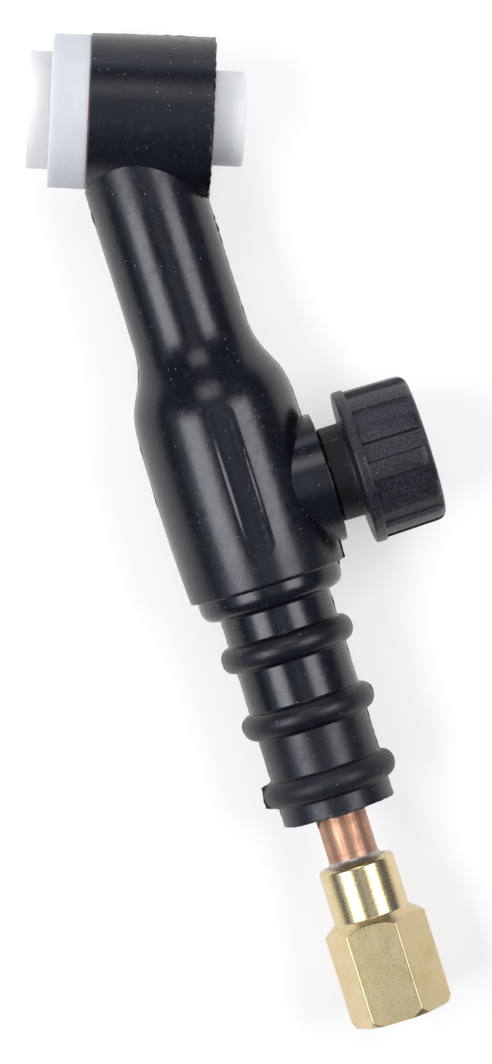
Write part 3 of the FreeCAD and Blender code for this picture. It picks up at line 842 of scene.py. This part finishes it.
def boss():
    """The rubber round the valve's nose, with a lip that stops just short of the knob's hub."""
    lip_end = HUB_START - 0.02
    points = outline(
        (0, 0, 0), (BOSS_R, 0, 0), (BOSS_R, BOSS_END, 0.2), (BOSS_LIP_R, BOSS_END, 0.15),
        (BOSS_LIP_END_R, lip_end, 0.15), (0, lip_end, 0),
    )

    def relief(radius, along, angle):
        outer = swell(radius, 7.6, 8.8)
        across, height = radius * np.sin(angle), radius * np.cos(angle)
        wave = SKIN_WAVE * (ripple(21, 7.0, across, height, along) - 1) * outer
        face = swell(along, BOSS_END - 0.3, BOSS_END - 0.05) * outer
        dented = along - face * 0.1 * ragged(23, 0.07, angle)
        return radius + wave + side_fins(radius, along, angle, 22, 0.3) * outer, dented

    angles = turns(2.2, parting_clusters(90, 270))
    return turned("boss", resampled(points, 0.5, loop=False), VALVE, angles, relief, loop=False)


def rubber_moulding():
    """Neck, bulge and tail, head sleeve and valve boss as one hollow moulding."""
    half = math.degrees(PANEL_WIDTH / 2 / BULGE_MID_R)
    panel = (90 - half - 3, 90 + half + 1, 0.62)
    fine = [(0, 1.6, 0.55), (358.4, 360, 0.55), panel] + parting_clusters(180)
    piece = turned("rubber_moulding", stem_section(), STEM, turns(2.1, fine), stem_relief, loop=False)
    clear = 2 * HEAD_REAR_R
    ahead_of_head = rod(clear, HEAD_FRONT - clear, HEAD_FRONT, HEAD)
    combine(piece, [ahead_of_head], "DIFFERENCE")
    combine(piece, [head_sleeve(), boss()], "UNION")
    barrel_end = down("supply_tube_braze", 0)
    barrel_top = barrel_end - BARREL_LENGTH
    ring_seat = plug([
        (0, CORE_REAR - 0.1, 0), (REAR_RING_R, CORE_REAR - 0.1, 0), (REAR_RING_R, HEAD_REAR - 0.5, 0),
        (REAR_RING_R + SEAT_GAP, HEAD_REAR + PAST, 0), (0, HEAD_REAR + PAST, 0)], HEAD)
    tail_mouth = plug([
        (0, barrel_end - 6, 0), (TUBE_R, barrel_end - 6, 0), (TUBE_R, TAIL_END - 0.6, 0),
        (TUBE_R + SEAT_GAP, TAIL_END + PAST, 0), (0, TAIL_END + PAST, 0)], STEM)
    return combine(piece, [
        rod(CORE_R, HEAD_FRONT - PAST, CORE_REAR, HEAD),
        ring_seat,
        tail_mouth,
        rod(NECK_TUBE_R, NECK_TOP, barrel_top + PAST, STEM),
        rod(BARREL_R, barrel_top, barrel_end, STEM),
        rod(CROSS_R, CROSS_START, CROSS_END, VALVE),
        rod(NOSE_R + SEAT_GAP / 2, CROSS_END - 0.2, BOSS_END + PAST, VALVE),
    ], "DIFFERENCE")


finish_piece(rubber_moulding(), "torch", "black_rubber", ["body_moulding"])

# ---- head ---------------------------------------------------------------------------


def thread(radius, along, angle, wall, pitch, depth, start, end):
    """A helical V-groove cut outwards from a bore's wall between start and end."""
    on_wall = np.abs(radius - wall) < 0.02
    phase = (along / pitch - angle / (2 * math.pi)) % 1
    groove = 1 - np.abs(2 * phase - 1)
    fade = swell(along, start, start + 0.5 * pitch) * (1 - swell(along, end - 0.5 * pitch, end))
    return radius + on_wall * depth * swell(groove, 0.1, 0.9) * fade


def head_core():
    """The brass head: a spigot in front, and a thread at each end of the collet's bore."""
    front_end, rear_start = COLLET_BORE_FRONT - THREAD_RUN_OUT, COLLET_BORE_REAR + THREAD_RUN_OUT
    points = outline(
        (SPIGOT_R, SPIGOT_FRONT, 0.15), (SPIGOT_R, HEAD_FRONT, 0.05), (CORE_R, HEAD_FRONT, 0.1),
        (CORE_R, CORE_REAR, 0.1), (HEAD_THREAD_R, CORE_REAR, 0.2), (HEAD_THREAD_R, rear_start, 0),
        (COLLET_BORE_R, COLLET_BORE_REAR, 0.05), (COLLET_BORE_R, COLLET_BORE_FRONT, 0.05),
        (HEAD_THREAD_R, front_end, 0), (HEAD_THREAD_R, SPIGOT_FRONT, 0.2),
    )

    def relief(radius, along, angle):
        for start, end in ((SPIGOT_FRONT, front_end), (rear_start, CORE_REAR)):
            radius = thread(radius, along, angle, HEAD_THREAD_R, HEAD_THREAD_PITCH,
                            HEAD_THREAD_DEPTH, start, end)
        return radius, along

    core = turned("brass_head", resampled(points, 0.11), HEAD, turns(2.5), relief)
    tube_top = down("neck_tube", 0)
    return combine(core, [
        rod(GAS_PORT_R, 0, tube_top + 0.5, STEM), rod(NECK_TUBE_R, tube_top, tube_top + 9, STEM),
    ], "DIFFERENCE")


def uneven(seed, size, depth):
    """The relief of a slightly uneven turned or drawn face, never outwards."""

    def relief(radius, along, angle):
        return radius + depth * dips(seed, size, radius, along, angle) / 2, along

    return relief


def heat_shield():
    """The stepped PTFE front insulator."""
    points = outline(
        (SHIELD_BORE_R, NOZZLE_SEAT_FRONT, 0.25), (NOZZLE_SEAT_R, NOZZLE_SEAT_FRONT, 0.16),
        (NOZZLE_SEAT_R, SHIELD_FRONT, 0.12), (SHIELD_R, SHIELD_FRONT, 0.2),
        (SHIELD_R, HEAD_FRONT, 0.14), (SPIGOT_R, HEAD_FRONT, 0.1),
        (SPIGOT_R, SPIGOT_FRONT, 0.05), (SHIELD_BORE_R, SPIGOT_FRONT, 0.05),
    )
    section = resampled(points, 0.4)
    return turned("heat_shield", section, HEAD, turns(2.0), uneven(31, 6.0, 0.02))


def rear_ring():
    """The PTFE ring that the back cap seals in, its rim a little worn."""
    points = outline(
        (REAR_RING_BORE_R, CORE_REAR, 0.05), (REAR_RING_R, CORE_REAR, 0.05),
        (REAR_RING_R, REAR_RING_END, 0.5), (REAR_RING_BORE_R, REAR_RING_END, 0.22),
    )
    section = resampled(points, 0.35)
    return turned("rear_ring", section, HEAD, turns(2.5), uneven(32, 6.0, 0.02))


finish_piece(head_core(), "torch", "brass", ["head_core"], sharp=50)
finish_piece(heat_shield(), "torch", "white_ptfe", ["front_insulator"], sharp=50)
finish_piece(rear_ring(), "torch", "white_ptfe", ["rear_insulator"], sharp=50)

# ---- tube, braze and fitting --------------------------------------------------------


def copper_tube():
    """The supply tube, with the shallow ring that its tube cutter left near the fitting."""
    start, end = down("supply_tube", 0), down("supply_tube", 1)
    mark = FITTING_TOP - TUBE_MARK
    points = outline(
        (TUBE_BORE_R, start, 0.1), (TUBE_R, start, 0.12), (TUBE_R, mark - TUBE_MARK_HALF, 0.1),
        (TUBE_R - 0.03, mark, 0.05), (TUBE_R, mark + TUBE_MARK_HALF, 0.1), (TUBE_R, end, 0.12),
        (TUBE_BORE_R, end, 0.1),
    )
    section = resampled(points, 0.4)
    return turned("copper_tube", section, STEM, turns(3.0), uneven(41, 3.5, 0.04))


def solder_fillet():
    """The concave fillet of filler metal between the tube and the fitting."""
    top, below = down("fitting_braze", 0), FITTING_TOP + 0.3
    hollow = bend((TUBE_R, top), (TUBE_R + 0.02, FITTING_TOP - 0.02),
                  (TUBE_R + FILLET_WIDTH, FITTING_TOP + 0.1), 14)
    points = outline(hollow, (TUBE_R + FILLET_WIDTH - 0.1, below, 0), (TUBE_R - 0.05, below, 0),
                     (TUBE_R - 0.05, top, 0))

    def relief(radius, along, angle):
        lumps = 0.07 * ripple(42, 1.6, radius * np.cos(angle), radius * np.sin(angle), along)
        return radius, along + (lumps - 0.05) * swell(FITTING_TOP - along, 0.1, 0.4) * (radius > TUBE_R)

    return turned("solder_fillet", resampled(points, 0.12), STEM, turns(3.0), relief)


def smooth_least(a, b, width):
    """The smaller of two values, with the change between them rounded off."""
    share = np.clip(0.5 + 0.5 * (b - a) / width, 0, 1)
    return b + (a - b) * share - width * share * (1 - share)


def hex_fitting():
    """Turned neck, hexagon with its turned chamfers, and the power cable's thread."""
    mouth, tube_end = FITTING_END - CABLE_MOUTH_DEPTH, down("supply_tube", 1)
    points = outline(
        (TUBE_R, FITTING_TOP, 0.08), (FITTING_NECK_R, FITTING_TOP, FITTING_NECK_ROUND),
        (FITTING_NECK_R, FITTING_NECK_END, 0.12), (HEX_CORNER_R, HEX_TOP, 0.15),
        (HEX_CORNER_R, FITTING_END - HEX_END_CHAMFER, 0.12), (HEX_END_R, FITTING_END, 0.1),
        (CABLE_MOUTH_R, FITTING_END, 0.1), (CABLE_THREAD_R, mouth, 0.1),
        (CABLE_THREAD_R, CABLE_THREAD_TOP, 0.1), (TUBE_BORE_R, CABLE_THREAD_TOP, 0.1),
        (TUBE_BORE_R, tube_end, 0.05), (TUBE_R, tube_end, 0.05),
    )

    def relief(radius, along, angle):
        sixth = math.radians(60)
        around = (angle - math.radians(HEX_TURN)) % sixth - sixth / 2
        flat = HEX_ACROSS_FLATS / 2 / np.cos(around)
        hexagon = smooth_least(flat, np.full_like(flat, HEX_CORNER_R - 0.05), 0.04)
        outside = (radius > CABLE_MOUTH_R + 0.3) & (along > FITTING_NECK_END - 0.3)
        radius = np.where(outside, smooth_least(radius, hexagon, 0.05), radius)
        dents = 0.006 * dips(52, 3.0, radius, along, angle)
        radius = radius + dents * (radius > CABLE_MOUTH_R)
        radius = thread(radius, along, angle, CABLE_THREAD_R, CABLE_THREAD_PITCH,
                        CABLE_THREAD_DEPTH, CABLE_THREAD_TOP, mouth)
        return radius, along

    corners = [(HEX_TURN + 60 * k - 1.5, HEX_TURN + 60 * k + 1.5, 0.35) for k in range(7)]
    corners = [(max(0, low), min(360, high), step) for low, high, step in corners if low < 360]
    section = resampled(points, 0.14, fine=[(FITTING_NECK_END, HEX_TOP + 0.6, 0.07)])
    return turned("hex_fitting", section, STEM, turns(2.4, corners), relief)


def rubber_film():
    """A torn scrap of the moulding's rubber left on the tube beside the tail's end."""
    start, end = TAIL_END - 0.3, TAIL_END + 1.5
    points = outline((TUBE_R - 0.02, start, 0), (TUBE_R + 0.14, start, 0.05),
                     (TUBE_R + 0.05, end, 0.03), (TUBE_R - 0.02, end, 0))
    section = resampled(points, 0.12)
    angle = np.radians(np.linspace(150, 196, 40))
    rows, columns = len(section), len(angle)
    a, r = np.meshgrid(angle, section[:, 0])
    s = np.meshgrid(angle, section[:, 1])[1]
    torn = 0.35 + 0.65 * ragged(61, 0.07, a) * np.sin(math.pi * (a - a.min()) / np.ptp(a)) ** 0.5
    s = start + (s - start) * torn
    vertices = np.stack([r * np.cos(a), r * np.sin(a), s], axis=-1).reshape(-1, 3)
    index = np.arange(rows * columns).reshape(rows, columns)
    below = np.roll(index, -1, axis=0)
    corners = (index[:, :-1], below[:, :-1], below[:, 1:], index[:, 1:])
    faces = np.stack(corners, axis=-1).reshape(-1, 4).tolist()
    faces += [tuple(index[:, 0][::-1].tolist()), tuple(index[:, -1].tolist())]
    return put("rubber_film", vertices, faces, STEM)


finish_piece(copper_tube(), "torch", "copper", ["supply_tube"])
finish_piece(solder_fillet(), "torch", "silver_braze", ["fitting_braze"])
finish_piece(hex_fitting(), "torch", "brass", ["cable_fitting"], sharp=30)
finish_piece(rubber_film(), "torch", "black_rubber")

# ---- knob ---------------------------------------------------------------------------


def fluted_knob():
    """Hub, flange and fluted grip, with the dish and the screw's well in its outer face."""
    dish = KNOB_END - KNOB_DISH_DEPTH
    points = outline(
        (HUB_BORE_R, HUB_START, 0.15), (HUB_R, HUB_START, 0.2), (HUB_R, FLANGE_START - 0.05, 0.7),
        (FLANGE_R, FLANGE_START, 0.5), (FLANGE_R, FLANGE_END, 0.4), (GRIP_R, FLANGE_END, 0.1),
        (GRIP_END_R, KNOB_END, KNOB_ROUND), (KNOB_DISH_R, KNOB_END, 0.2),
        (KNOB_DISH_R, dish, 0.2), (SCREW_WELL_R, dish, 0.15), (SCREW_WELL_R, INSERT_END, 0.1),
        (INSERT_R, INSERT_END, 0), (INSERT_R, SHANK_END, 0), (SHANK_R, SHANK_END, 0.05),
        (SHANK_R, HUB_BORE_END, 0.1), (HUB_BORE_R, HUB_BORE_END, 0.2),
    )
    pitch = 360 / FLUTES
    flute_half = pitch * FLUTE_SHARE / 2

    def relief(radius, along, angle):
        degrees = (np.degrees(angle) - LAND_PHASE - pitch / 2) % pitch
        from_flute = np.minimum(degrees, pitch - degrees)
        share = 1 - swell(from_flute, flute_half - FLUTE_EDGE, flute_half + FLUTE_EDGE)
        fall = (along - FLANGE_END) / (KNOB_END - FLANGE_END)
        floor = GRIP_R - FLUTE_DEPTH + (GRIP_END_R - GRIP_R) * fall
        hollow = FLUTE_HOLLOW * np.cos(np.radians(from_flute / flute_half * 90))
        floor = floor - hollow + FLUTE_HOLLOW / 2
        grip = (along > FLANGE_END + 0.02) & (radius > KNOB_DISH_R + 0.3)
        cut = np.where(grip, np.minimum(radius, floor), radius)
        radius = radius + (cut - radius) * share
        return radius + 0.02 * dips(71, 5.0, radius, along, angle) * swell(radius, 6.2, 6.6), along

    edges = []
    for number in range(FLUTES):
        middle = LAND_PHASE + pitch * (number + 0.5)
        for edge in (middle - flute_half, middle + flute_half):
            edges.append(((edge - 0.8) % 360, (edge - 0.8) % 360 + 1.6, 0.42))
    section = resampled(points, 0.4)
    return turned("fluted_knob", section, VALVE, turns(1.9, edges), relief)


def knob_screw():
    """Slotted pan-head screw, the slot across the knob's face."""
    points = outline(
        (0, SCREW_TIP, 0), (SCREW_R, SCREW_TIP, 0.3), (SCREW_R, INSERT_END, 0.05),
        (SCREW_HEAD_R, INSERT_END, 0.12), (SCREW_HEAD_R, SCREW_HEAD_END, 0.5), (0, SCREW_HEAD_END, 0),
    )
    section = resampled(points, 0.15, loop=False)
    screw = turned("slotted_screw", section, VALVE, turns(4.0), loop=False)
    middle = SCREW_HEAD_END - SCREW_SLOT_DEPTH / 2 + 0.5
    slot = block((SCREW_SLOT_WIDTH, 3 * SCREW_HEAD_R, SCREW_SLOT_DEPTH + 1), (0, 0, middle), VALVE)
    return combine(screw, [slot], "DIFFERENCE")


finish_piece(fluted_knob(), "spindle", "black_nylon", ["valve_knob"], sharp=32)
finish_piece(knob_screw(), "spindle", "plated_steel", ["knob_screw"])

# ---- CAD nodes that stay in view ----------------------------------------------------

KEPT_NODES = {
    "brass": ("valve_body", "gland_nut", "valve_spindle", "knob_insert"),
    "copper": ("neck_tube",),
    "silver_braze": ("head_braze", "neck_tube_braze", "supply_tube_braze"),
    "white_ptfe": ("gland_washer",),
    "seal_rubber": ("gland_o_ring", "spindle_o_ring"),
}

for finish, names in KEPT_NODES.items():
    for name in names:
        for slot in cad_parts[name].material_slots:
            slot.material = FINISHES[finish]

# ---- floor, light and camera --------------------------------------------------------

CAMERA_RIGHT = Vector((0.954, -0.299, 0)).normalized()
CAMERA_UP = UP.cross(CAMERA_RIGHT)
VIEW_CENTRE = Vector((-0.8, -60.7, 0)) * MM
CAMERA_DISTANCE = 0.655
CAMERA_LENS = 159.0
SENSOR = 36.0
SEEN_FROM_LEFT = 2.0
SEEN_FROM_HEAD = 1.5
GLOW_TO_LEFT = 15           # of the floor's lit patch, from the view's centre


def floor():
    """A pale seamless table top that glows: painted light in a pool brightest just left of the view's
    centre and fading outward, which also washes out the torch's shadows.
    """
    lowest = CAD_BOX[0][2] / MM - 0.02
    half = 1500
    vertices = np.array([(-half, -half, lowest), (half, -half, lowest),
                         (half, half, lowest), (-half, half, lowest)], float)
    glow_middle = VIEW_CENTRE / MM - GLOW_TO_LEFT * CAMERA_RIGHT
    place = placed(glow_middle, CAMERA_RIGHT, CAMERA_UP, UP)
    piece = put("floor", vertices, [(0, 1, 2, 3)], place)
    f = Finish("pale_floor", Roughness=0.9, Specular_IOR_Level=0.1)
    f.shader.inputs["Emission Color"].default_value = (1.0, 1.0, 1.0, 1)
    # Painted pool of light: the floor's own emission, strongest near the torch and fading outward.
    glow = f.step(f.away((1, 2.1, 1)), 34, 200, 0.54, 0.04)
    f.tree.links.new(glow, f.shader.inputs["Emission Strength"])
    f.colour(f.blend(f.noise(60.0, 3), (0.49, 0.49, 0.49), (0.51, 0.51, 0.515)))
    piece.data.materials.append(f.material)


def softbox(name, direction, distance, size, radiance, tint=(1, 1, 1), part=(-0.5, 0.5), mirrored=True):
    """A rectangular soft light aimed at the torch; size is (across the stem, along it).

    part keeps only a share of its length, and mirrored says whether reflections show it.
    """
    light = bpy.data.lights.new(name, "AREA")
    light.shape = "RECTANGLE"
    light.size, light.size_y = size[0], size[1] * (part[1] - part[0])
    light.energy = radiance * math.pi * light.size * light.size_y
    light.color = tint
    lamp = add(name, light)
    lamp.visible_glossy = mirrored
    back = Vector(direction).normalized()
    along = Vector((0, 1, 0))
    across = along.cross(back).normalized()
    along = back.cross(across)
    middle = VIEW_CENTRE + back * distance + along * size[1] * sum(part) / 2
    lamp.matrix_world = placed(middle, across, along, back)


def leaning(across, toward_head):
    """A direction from the torch, leaning from straight up by two angles in degrees."""
    return (math.tan(math.radians(across)), math.tan(math.radians(toward_head)), 1)


def lights():
    """Two long softboxes beside the stem, and weaker cards for the head, the top and the left."""
    for name, across, width, radiance in (("left", -40, 0.36, 6.4), ("right", 36, 0.34, 5.4)):
        place = leaning(across, 6), 0.75, (width, 0.62), radiance
        softbox(name + "_softbox", *place, part=(-0.5, 0.15))
        softbox(name + "_softbox_end", *place, part=(0.15, 0.5), mirrored=False)
    cards = (
        # name, leaning (across, toward the head), distance, size, radiance, tint
        ("head_softbox", (0, 36), 0.9, (0.42, 0.3), 2.7, (1, 1, 1)),
        ("head_card", (0, 80), 0.75, (0.7, 0.26), 1.4, (0.95, 0.98, 1.06)),
        ("overhead_card", (2, 0), 0.95, (0.3, 0.7), 0.5, (0.9, 0.97, 1.1)),
        ("left_sky", (-61, 6), 0.75, (0.3, 0.6), 0.5, (0.7, 0.85, 1.2)),
    )
    for name, lean, *others in cards:
        softbox(name, leaning(*lean), *others)
    world = bpy.data.worlds.new("studio")
    world.use_nodes = True
    background = world.node_tree.nodes["Background"]
    background.inputs["Color"].default_value = (0.7, 0.85, 1.1, 1)
    background.inputs["Strength"].default_value = 0.15
    bpy.context.scene.world = world


def camera():
    """A long lens above the torch, a little to its left and toward its head."""
    data = bpy.data.cameras.new("camera")
    data.sensor_fit = "VERTICAL"
    data.sensor_height = SENSOR
    data.lens = CAMERA_LENS
    data.clip_start = 0.01
    data.clip_end = 20
    back = (UP - math.tan(math.radians(SEEN_FROM_LEFT)) * CAMERA_RIGHT
            + math.tan(math.radians(SEEN_FROM_HEAD)) * CAMERA_UP).normalized()
    right = CAMERA_UP.cross(back).normalized()
    seen = add("camera", data)
    seen.matrix_world = placed(VIEW_CENTRE + back * CAMERA_DISTANCE, right, back.cross(right), back)
    bpy.context.scene.camera = seen


floor()
lights()
camera()
bpy.context.scene.view_settings.view_transform = "Standard"
